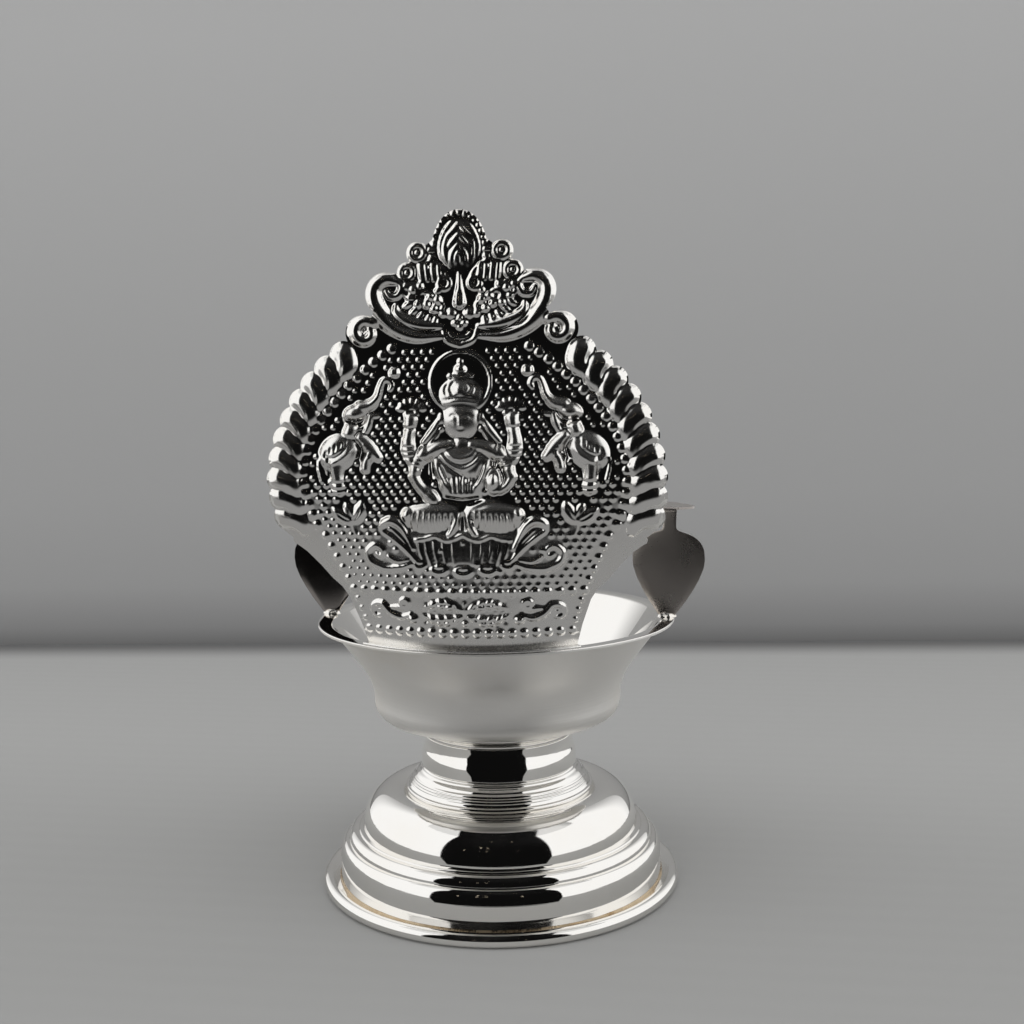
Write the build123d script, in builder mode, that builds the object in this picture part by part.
"""A standing silver oil lamp: hollow foot, screwed-on bowl, struck plate and two ears.

The lamp stands on the XY plane with its axis on Z. The plate stands on the lip's front,
at -Y, with its relief facing -Y. The ears stand on the lip at +X and -X.
"""
import math
import os

from build123d import *

# Sheet and solder
foot_wall = 0.6
bowl_wall = 0.6
plate_thickness = 0.5
ear_thickness = 0.5
fillet_leg = 0.7
solder_gap = 0.02

# Foot, from the table up
ring_height = 2.8
ring_width = 3.1
ring_clearance = 0.05
skirt_radius = 29.1
skirt_lift = 0.5
skirt_height = 4.1
low_step_height = 3.7
low_step_reach = 1.3
low_ledge = 0.3
mid_step_height = 1.7
mid_step_reach = 0.7
mid_ledge = 0.2
top_step_height = 1.1
top_step_reach = 1.5
top_ledge = 0.9
bulge_rise = 1.3
bulge_height = 5.0
bulge_depth = 5.5
bulge_overhang = 0.25
groove_drop = 0.9
groove_reach = 2.3
cove_height = 4.9
cove_reach = 3.2
cove_hollow = 1.0

# Neck and screw
collar_bead_rise = 1.6
collar_waist_rise = 2.6
collar_neck_rise = 1.6
collar_bulge = 0.9
collar_step = 0.2
collar_wall = 4.3
neck_clearance = 0.15
bush_recess = 0.7
bush_chamfer = 0.35
seat_hole_margin = 1.0
stud_radius = 5.0
stud_chamfer = 0.5
thread_clearance = 0.05
stud_end_gap = 1.0
stud_flange_radius = 8.0
stud_flange_thickness = 1.0
stem_height = 2.9
stem_flare = 1.9
stem_clearance = 0.4

# Bowl
wall_radius = 22.1
corner_radius = 6.2
wall_straight = 0.25
flare_height = 10.7
neck_fillet = 3.0
lip_fillet = 1.5
lip_radius = 31.75
lip_land = 2.6

# Plate: u is across, v is the height above the lip
flange_width = 1.45
flange_thickness = 0.4
foot_half_angle = 34.0
plate_height = 68.1
plate_lean = 2.0
lean_height = 20.0
plate_flat_height = 30.0
plate_flatness = 0.03
border_centre = 26.0
border_across = 31.4
border_up = 28.8
flank_drop = 8.4
cord_width = 2.7
cord_ridge = 2.1
cord_length = 5.6
cord_rise = 4.2
cord_count = 10
cord_first = 51.0
cord_step = 6.8
cord_sweep = 5.5
figure_base = 13.2
relief_grid = 1.0
high_relief = 1.1
low_relief = 0.55

# Ears
leaf_width = 12.6
leaf_shoulder = 9.7
leaf_neck = 5.9
leaf_tip = 2.7
ear_stem_width = 2.3
ear_stem_height = 3.6
tab_width = 8.5
tab_shoulder = 3.4
tab_point = 5.1
ear_lean = 2.0
tip_allowance = 1.0
blob_overhang = 0.25
blob_depth = 1.9
blob_height = 1.3
blob_round = 0.43

# Heights and radii that follow from the sizes above
skirt_top = skirt_lift + skirt_height
low_step_top = skirt_top + low_step_height
mid_step_top = low_step_top + mid_step_height
top_step_top = mid_step_top + top_step_height
bulge_middle = top_step_top + bulge_rise
bulge_crest = bulge_middle + bulge_height
groove_level = bulge_crest - groove_drop
seat_level = groove_level + cove_height
collar_bead = seat_level + collar_bead_rise
collar_waist = collar_bead + collar_waist_rise
collar_top = collar_waist + collar_neck_rise
bush_top = collar_top - bush_recess
bowl_base = collar_top + stem_height

low_step_radius = skirt_radius - low_step_reach
mid_step_radius = low_step_radius - low_ledge
mid_shoulder = mid_step_radius - mid_step_reach
top_step_radius = mid_shoulder - mid_ledge
top_shoulder = top_step_radius - top_step_reach
bulge_foot = top_shoulder - top_ledge
bulge_radius = bulge_foot + bulge_overhang
crest_radius = bulge_radius - bulge_depth
groove_radius = crest_radius - groove_reach
seat_radius = groove_radius - cove_reach
neck_radius = seat_radius + collar_step
bush_radius = seat_radius - collar_wall
bore_radius = stud_radius + thread_clearance
seat_hole = bore_radius + seat_hole_margin
stem_bore = stud_flange_radius + stem_clearance
stud_end = seat_level + stud_end_gap
skirt_inner = skirt_radius - foot_wall
ring_inner = skirt_radius + ring_clearance
ring_outer = ring_inner + ring_width
ring_round = ring_height / 2

land_inner = lip_radius - lip_land
flare_angle = math.atan2(land_inner - wall_radius, flare_height - bowl_wall)
wall_height = corner_radius + wall_straight + neck_fillet * math.tan(abs(flare_angle) / 2)
wall_top = bowl_base + wall_height
lip_top = wall_top + flare_height
plate_foot = lip_radius - flange_width

os.makedirs("parts", exist_ok=True)


def finish(piece, name):
    """Label a finished piece and write it."""
    piece.label = name
    export_step(piece, f"parts/{name}.step")


def shoulder(outer, inner, low, high):
    """Quarter-round edge of a step, from (outer, low) up to (inner, high)."""
    EllipticalCenterArc((inner, low), outer - inner, high - low, start_angle=0, arc_size=90)


# Foot shell: the outside runs down from the collar's seat, the inside follows it back up
hollow_crest = bulge_crest - foot_wall
hollow_bulge = bulge_radius - foot_wall
hollow_groove = (groove_radius - foot_wall, groove_level - foot_wall)
hollow_seat = (seat_radius - foot_wall, seat_level - foot_wall)
with BuildPart() as foot_shell:
    with BuildSketch(Plane.XZ):
        with BuildLine():
            Line((seat_hole, seat_level), (seat_radius, seat_level))
            SagittaArc((seat_radius, seat_level), (groove_radius, groove_level), -cove_hollow)
            Spline(
                (groove_radius, groove_level),
                (crest_radius, bulge_crest),
                tangents=((1, 1), (1, 0)),
            )
            shoulder(bulge_radius, crest_radius, bulge_middle, bulge_crest)
            Line((bulge_radius, bulge_middle), (bulge_foot, top_step_top))
            Line((bulge_foot, top_step_top), (top_shoulder, top_step_top))
            shoulder(top_step_radius, top_shoulder, mid_step_top, top_step_top)
            Line((top_step_radius, mid_step_top), (mid_shoulder, mid_step_top))
            shoulder(mid_step_radius, mid_shoulder, low_step_top, mid_step_top)
            Line((mid_step_radius, low_step_top), (low_step_radius, low_step_top))
            shoulder(skirt_radius, low_step_radius, skirt_top, low_step_top)
            Polyline(
                (skirt_radius, skirt_top),
                (skirt_radius, skirt_lift),
                (skirt_inner, skirt_lift),
                (skirt_inner, skirt_top),
                (low_step_radius - foot_wall, low_step_top - foot_wall),
                (top_step_radius - foot_wall, mid_step_top - foot_wall),
                (hollow_bulge - foot_wall, top_step_top),
                (hollow_bulge, bulge_middle),
            )
            shoulder(hollow_bulge, crest_radius, bulge_middle, hollow_crest)
            Line((crest_radius, hollow_crest), hollow_groove)
            SagittaArc(hollow_groove, hollow_seat, cove_hollow)
            Polyline(hollow_seat, (seat_hole, seat_level - foot_wall), (seat_hole, seat_level))
        make_face()
    revolve(axis=Axis.Z)
finish(foot_shell.part, "foot_shell")

# Foot ring: half-round wire bent round the skirt, flat underneath where it meets the table
with BuildPart() as foot_ring:
    with BuildSketch(Plane.XZ):
        with BuildLine():
            Line((ring_outer - ring_round, 0), (ring_inner, 0))
            Line((ring_inner, 0), (ring_inner, ring_height))
            Line((ring_inner, ring_height), (ring_outer - ring_round, ring_height))
            ThreePointArc(
                (ring_outer - ring_round, ring_height),
                (ring_outer, ring_round),
                (ring_outer - ring_round, 0),
            )
        make_face()
    revolve(axis=Axis.Z)
finish(foot_ring.part, "foot_ring")

# Solder seam in the corner between the skirt and the top of the ring
with BuildPart() as foot_ring_solder:
    with BuildSketch(Plane.XZ):
        with Locations((skirt_radius + solder_gap, ring_height)):
            Triangle(a=fillet_leg, b=fillet_leg, C=90, align=(Align.MIN, Align.MIN))
    revolve(axis=Axis.Z)
finish(foot_ring_solder.part, "foot_ring_solder")

# Neck collar: a turned tube with a rounded bead below and a slight waist above
with BuildPart() as neck_collar:
    with BuildSketch(Plane.XZ):
        with BuildLine():
            Line((bush_radius, seat_level), (seat_radius, seat_level))
            Spline(
                (seat_radius, seat_level),
                (seat_radius + collar_bulge, collar_bead),
                (neck_radius, collar_waist),
                (neck_radius, collar_top),
            )
            Line((neck_radius, collar_top), (bush_radius, collar_top))
            Line((bush_radius, collar_top), (bush_radius, seat_level))
        make_face()
    revolve(axis=Axis.Z)
finish(neck_collar.part, "neck_collar")

# Threaded bush inside the collar, its thread drawn plain
with BuildPart() as threaded_bush:
    with BuildSketch(Plane.XY.offset(seat_level)):
        Circle(bush_radius - solder_gap)
        Circle(bore_radius, mode=Mode.SUBTRACT)
    extrude(amount=bush_top - seat_level)
    mouth = threaded_bush.edges().group_by(Axis.Z)[-1].sort_by(SortBy.RADIUS)[0]
    chamfer(mouth, bush_chamfer)
finish(threaded_bush.part, "threaded_bush")

# Solder fillet in the corner above the bush, against the collar's bore
solder_wall = bush_radius - solder_gap
with BuildPart() as collar_solder:
    with BuildSketch(Plane.XZ):
        with BuildLine():
            Polyline(
                (solder_wall, bush_top),
                (solder_wall, collar_top - neck_clearance),
                (solder_wall - fillet_leg, bush_top),
                close=True,
            )
        make_face()
    revolve(axis=Axis.Z)
finish(collar_solder.part, "collar_solder")

# Threaded stud: flanged, soldered flat under the bowl, its thread drawn plain
with BuildPart() as threaded_stud:
    with BuildSketch(Plane.XY.offset(bowl_base)):
        Circle(stud_flange_radius)
    extrude(amount=-stud_flange_thickness)
    with BuildSketch(Plane.XY.offset(stud_end)):
        Circle(stud_radius)
    extrude(until=Until.NEXT)
    chamfer(threaded_stud.edges().group_by(Axis.Z)[0], stud_chamfer)
finish(threaded_stud.part, "threaded_stud")

# Stem ring: the polished flare between the bowl and the parting line
stem_top = neck_radius + stem_flare
with BuildPart() as stem_ring:
    with BuildSketch(Plane.XZ):
        with BuildLine():
            Line((stem_bore, collar_top), (neck_radius, collar_top))
            Spline(
                (neck_radius, collar_top),
                (stem_top, bowl_base),
                tangents=((0, 1), (1, 0.35)),
            )
            Line((stem_top, bowl_base), (stem_bore, bowl_base))
            Line((stem_bore, bowl_base), (stem_bore, collar_top))
        make_face()
    revolve(axis=Axis.Z)
finish(stem_ring.part, "stem_ring")

# Solder fillet round the stud's flange, under the bowl
solder_wall = stem_bore - solder_gap
with BuildPart() as stud_solder:
    with BuildSketch(Plane.XZ):
        with BuildLine():
            Polyline(
                (solder_wall, bowl_base),
                (solder_wall, bowl_base - fillet_leg),
                (stud_flange_radius + solder_gap, bowl_base),
                close=True,
            )
        make_face()
    revolve(axis=Axis.Z)
finish(stud_solder.part, "stud_solder")

# Bowl: flat base, rounded corner, upright wall, straight flare and a flat land at the lip
with BuildPart() as bowl:
    with BuildSketch(Plane.XZ):
        with BuildLine():
            outside = FilletPolyline(
                (0, bowl_base),
                (wall_radius, bowl_base),
                (wall_radius, wall_top),
                (land_inner, lip_top - bowl_wall),
                (lip_radius, lip_top - bowl_wall),
                radius=(corner_radius, neck_fillet, lip_fillet),
            )
            inside = FilletPolyline(
                (0, bowl_base + bowl_wall),
                (wall_radius - bowl_wall, bowl_base + bowl_wall),
                (wall_radius - bowl_wall, wall_top + bowl_wall / 2),
                (land_inner - bowl_wall / 2, lip_top),
                (lip_radius, lip_top),
                radius=(corner_radius - bowl_wall, neck_fillet + bowl_wall, lip_fillet),
            )
            Line(outside @ 0, inside @ 0)
            Line(outside @ 1, inside @ 1)
        make_face()
    revolve(axis=Axis.Z)
finish(bowl.part, "bowl")

# Places on the plate, as (u, v): the relief is drawn on a grid of its own
foot_corner = plate_foot * math.sin(math.radians(foot_half_angle))
band_steps = 6
band_margin = 2 * plate_thickness
plate_plane = Plane((0, 0, lip_top), x_dir=(1, 0, 0), z_dir=(0, -1, 0))


def plate_curve(v):
    """Radius of the plate's curve across, and its place forward, at a height above the lip."""
    rise = min(v / plate_flat_height, 1)
    radius = plate_foot / max((1 - rise) ** 1.5, plate_flatness)
    lean = plate_lean * math.sin(math.pi / 2 * min(v / lean_height, 1))
    return radius, plate_foot + lean


def plate_band(back, front):
    """Curved band that follows the plate's surface, from back to front of it."""
    heights = [plate_flat_height * i / band_steps for i in range(band_steps + 1)]
    with BuildPart() as band:
        for v in (*heights, plate_height + band_margin):
            radius, forward = plate_curve(v)
            half = min(foot_corner + v, border_across) + band_margin
            with BuildSketch(Plane.XY.offset(lip_top + v)):
                with BuildLine():
                    ends = []
                    for offset in (back, front):
                        curve = radius + offset
                        drop = curve - math.sqrt(curve**2 - half**2)
                        middle = -forward - offset
                        ThreePointArc((-half, middle + drop), (0, middle), (half, middle + drop))
                        ends.append(middle + drop)
                    Line((-half, ends[0]), (-half, ends[1]))
                    Line((half, ends[0]), (half, ends[1]))
                make_face()
        loft(ruled=True)
    return band.part


def on_ellipse(across, up, angle):
    """Point on an ellipse about the border's centre, angle from the horizontal."""
    turn = math.radians(angle)
    return (across * math.cos(turn), border_centre + up * math.sin(turn))


def above_seat(u, v):
    """Place in the figure scene, in grid cells up from the seat's foot."""
    return (u * relief_grid, figure_base + v * relief_grid)


def below_tip(u, drop):
    """Place in the crest, in grid cells down from the plate's tip."""
    return (u * relief_grid, plate_height - drop * relief_grid)


def above_lip(u, v):
    """Place in the foot band, in grid cells up from the lip."""
    return (u * relief_grid, v * relief_grid)


def bar(start, end, width):
    """Round-ended bar of the relief from start to end."""
    lean = math.degrees(math.atan2(end[1] - start[1], end[0] - start[0]))
    with Locations((Vector(*start) + Vector(*end)) / 2):
        SlotCenterToCenter(math.dist(start, end), width, rotation=lean)


def oval(place, across, up, turn=0):
    """Oval boss of the relief, its half sizes in grid cells."""
    with Locations(place):
        Ellipse(across * relief_grid, up * relief_grid, rotation=turn)


# Cords of the border: round-ended bars that sweep from the edge down to the bead row
cords = []
for i in range(cord_count):
    angle = cord_first - i * cord_step
    head = on_ellipse(border_across - cord_width / 2, border_up - cord_width / 2, angle)
    tail = on_ellipse(border_across - cord_length, border_up - cord_rise, angle - cord_sweep)
    cords.append((head, tail))

# Bosses that stand on the edge, between the cords and the tip: place and radius in cells
crest_bosses = (
    (below_tip(15.2, 18.1), 2.75),
    (below_tip(11.3, 11.5), 3.3),
    (below_tip(7.9, 9.3), 1.1),
    (below_tip(6.4, 6.3), 1.65),
)
bud_half_width = 3.3
bud_half_height = 4.2
bud_border = 1.0
bud_centre = below_tip(0, bud_half_height + 2 * bud_border)

# Outline: narrow at the lip, flared flanks, corded oval, and the crest's bosses to the tip
flank_curve = ((0.17, 0.46), (0.36, 0.64), (0.63, 0.89), (0.89, 1.0))
flank_span = border_across - foot_corner
flank_height = border_centre - flank_drop
flank = [(foot_corner + a * flank_span, b * flank_height) for a, b in flank_curve]
inner_across = border_across - cord_width
inner_up = border_up - cord_width
cord_last = cord_first - cord_count * cord_step
with BuildSketch(plate_plane) as outline:
    with BuildLine():
        low = on_ellipse(inner_across, inner_up, cord_last + cord_step / 2)
        middle = on_ellipse(inner_across, inner_up, (cord_first + cord_last) / 2)
        high = on_ellipse(inner_across, inner_up, cord_first)
        Line((0, 0), (foot_corner, 0))
        Spline((foot_corner, 0), *flank, tangents=((0, 1), (1, 0.15)))
        Line(flank[-1], low)
        ThreePointArc(low, middle, high)
        Polyline(high, *[place for place, radius in crest_bosses], (0, plate_height), (0, 0))
    make_face()
    for head, tail in cords:
        bar(head, tail, cord_width)
    for place, radius in crest_bosses:
        oval(place, radius, radius)
    oval(bud_centre, bud_half_width + bud_border, bud_half_height + 2 * bud_border)
    mirror(about=Plane.YZ)

# Forms in high relief, drawn on the right half and mirrored
arms = (
    ((5.0, 18.4), (8.1, 14.5), 2.2),
    ((8.1, 14.5), (5.1, 13.0), 1.9),
    ((4.6, 18.8), (7.9, 17.0), 1.9),
    ((7.9, 17.0), (7.8, 24.4), 1.7),
)
elephant_limbs = (
    ((15.2, 25.8), (12.2, 29.0), 1.4),
    ((16.6, 20.8), (14.2, 16.6), 1.8),
    ((19.4, 16.2), (19.1, 12.0), 1.9),
    ((21.9, 18.2), (22.2, 14.4), 0.8),
)
crown = ((0, 27.2), (2.6, 27.2), (1.2, 31.0), (0, 32.6))
torso = ((0, 19.0), (5.6, 19.0), (3.9, 11.2), (0, 11.2))
lotus_seat = ((0, 0), (6.4, 0), (11.2, 7.2), (0, 5.8))
with BuildSketch(plate_plane) as high_forms:
    for head, tail in cords:
        bar(head, tail, cord_ridge)
    for place, radius in crest_bosses:
        oval(place, radius * 0.8, radius * 0.8)
    oval(bud_centre, bud_half_width, bud_half_height)
    # The seated figure: crowned head, body, folded legs, lotus seat and four arms
    oval(above_seat(0, 24.2), 3.1, 4.0)
    for corners in (crown, torso, lotus_seat):
        Polygon(*[above_seat(u, v) for u, v in corners], align=None)
    oval(above_seat(0, 8.2), 9.0, 2.7)
    oval(above_seat(7.8, 26.0), 2.0, 1.5)
    # An elephant with its trunk raised: body, head, then trunk, legs and tail
    oval(above_seat(19.3, 18.2), 3.5, 3.0)
    oval(above_seat(15.9, 24.3), 2.2, 2.2)
    for start, end, width in (*arms, *elephant_limbs):
        bar(above_seat(*start), above_seat(*end), width * relief_grid)
    mirror(about=Plane.YZ)

# Forms in low relief
halo_radius = 5.15
halo_wire = 0.65
with BuildSketch(plate_plane) as low_forms:
    # Foliage mask below the bud, with its cup and side leaves
    oval(below_tip(0, 12.5), 7.2, 3.6)
    oval(below_tip(0, 17.9), 2.7, 1.5)
    oval(below_tip(7.0, 17.6), 4.4, 1.5, turn=38)
    # Side scrolls of the lotus seat and the bud sprigs beside it
    oval(above_seat(12.5, 2.0), 1.8, 1.8)
    oval(above_seat(17.0, 8.2), 0.9, 1.7, turn=24)
    oval(above_seat(19.2, 8.2), 0.9, 1.7, turn=-24)
    # Foot band: leaves about the middle, small bosses and end scrolls
    oval(above_lip(3.1, 8.0), 2.9, 0.85, turn=12)
    oval(above_lip(3.1, 5.6), 2.9, 0.85, turn=-12)
    oval(above_lip(9.65, 7.9), 0.8, 0.8)
    oval(above_lip(8.3, 5.4), 0.8, 0.8)
    oval(above_lip(13.6, 6.3), 2.0, 1.2)
    mirror(about=Plane.YZ)
    with Locations(above_seat(0, 28.3)):
        Circle(halo_radius * relief_grid)
        Circle((halo_radius - halo_wire) * relief_grid, mode=Mode.SUBTRACT)

# Front plate: struck sheet with its relief in two depths, and a narrow flange on the lip
reach = lip_radius * 1.5
layers = []
for forms, back, front in (
    (outline, -plate_thickness, 0),
    (low_forms, -plate_thickness / 2, low_relief),
    (high_forms, -plate_thickness / 2, high_relief),
):
    layers.append(extrude(forms.sketch, amount=reach) & plate_band(back, front))

with BuildPart() as front_plate:
    for layer in layers:
        add(layer)
    with BuildSketch(Plane.XY.offset(lip_top)):
        Circle(lip_radius - solder_gap)
        Circle(plate_foot - plate_thickness, mode=Mode.SUBTRACT)
        with BuildLine():
            far = lip_radius * 2
            span = math.radians(foot_half_angle)
            side = (far * math.sin(span), -far * math.cos(span))
            Polyline((0, 0), side, (0, -far), (-side[0], side[1]), close=True)
        make_face(mode=Mode.INTERSECT)
    extrude(amount=flange_thickness)
finish(front_plate.part, "front_plate")

# Solder fillet behind the plate's foot, on the land of the lip
solder_wall = plate_thickness - plate_foot + solder_gap
with BuildPart() as plate_solder:
    with BuildSketch(Plane.YZ):
        with BuildLine():
            Polyline(
                (solder_wall, lip_top),
                (solder_wall + fillet_leg, lip_top),
                (solder_wall, lip_top + fillet_leg),
                close=True,
            )
        make_face()
    revolve(axis=Axis.Z, revolution_arc=foot_half_angle)
    mirror(about=Plane.YZ)
finish(plate_solder.part, "plate_solder")

# Ears: each one sheet, an upright spade leaf standing on its tip, a stem and a folded tab
leaf_height = leaf_shoulder + leaf_neck
leaf_top = leaf_height + ear_stem_height
tab_depth = tab_shoulder + tab_point
ear_place = lip_radius - lip_land / 2
for side, name in ((1, "right_ear"), (-1, "left_ear")):
    tilt = side * math.radians(ear_lean)
    upright = Plane(
        (side * ear_place, 0, lip_top),
        x_dir=(math.cos(tilt), 0, -math.sin(tilt)),
        z_dir=(0, -1, 0),
    )
    with BuildPart() as ear:
        with BuildSketch(upright):
            with BuildLine():
                Polyline((0, -tip_allowance), (leaf_tip / 2, -tip_allowance), (leaf_tip / 2, 0))
                Spline(
                    (leaf_tip / 2, 0),
                    (leaf_width / 2, leaf_shoulder),
                    (ear_stem_width / 2, leaf_height),
                    tangents=((0.55, 1), (-0.25, 1)),
                )
                Polyline(
                    (ear_stem_width / 2, leaf_height),
                    (ear_stem_width / 2, leaf_top),
                    (0, leaf_top),
                    (0, -tip_allowance),
                )
            make_face()
            mirror(about=Plane.YZ)
        extrude(amount=ear_thickness / 2, both=True)
        tab_centre = upright.from_local_coords((0, leaf_top, 0))
        with BuildSketch(Plane.XY.move(Location(tab_centre))):
            with BuildLine():
                Line((0, -ear_thickness / 2), (ear_stem_width / 2, -ear_thickness / 2))
                Spline(
                    (ear_stem_width / 2, -ear_thickness / 2),
                    (tab_width / 2, tab_shoulder),
                    (0, tab_depth),
                    tangents=((1, 0.2), (-1, 0.8)),
                )
                Line((0, tab_depth), (0, -ear_thickness / 2))
            make_face()
            mirror(about=Plane.YZ)
        extrude(amount=-ear_thickness)
        split(bisect_by=Plane.XY.offset(lip_top), keep=Keep.TOP)
    finish(ear.part, name)

    # Solder blob round the leaf's tip
    with BuildPart() as blob:
        with Locations((side * ear_place, 0, lip_top)):
            Box(
                leaf_tip + 2 * blob_overhang,
                blob_depth,
                blob_height,
                align=(Align.CENTER, Align.CENTER, Align.MIN),
            )
        fillet(blob.faces().sort_by(Axis.Z)[-1].edges(), blob_round)
        add(ear.part, mode=Mode.SUBTRACT)
    finish(blob.part, f"{name}_solder")
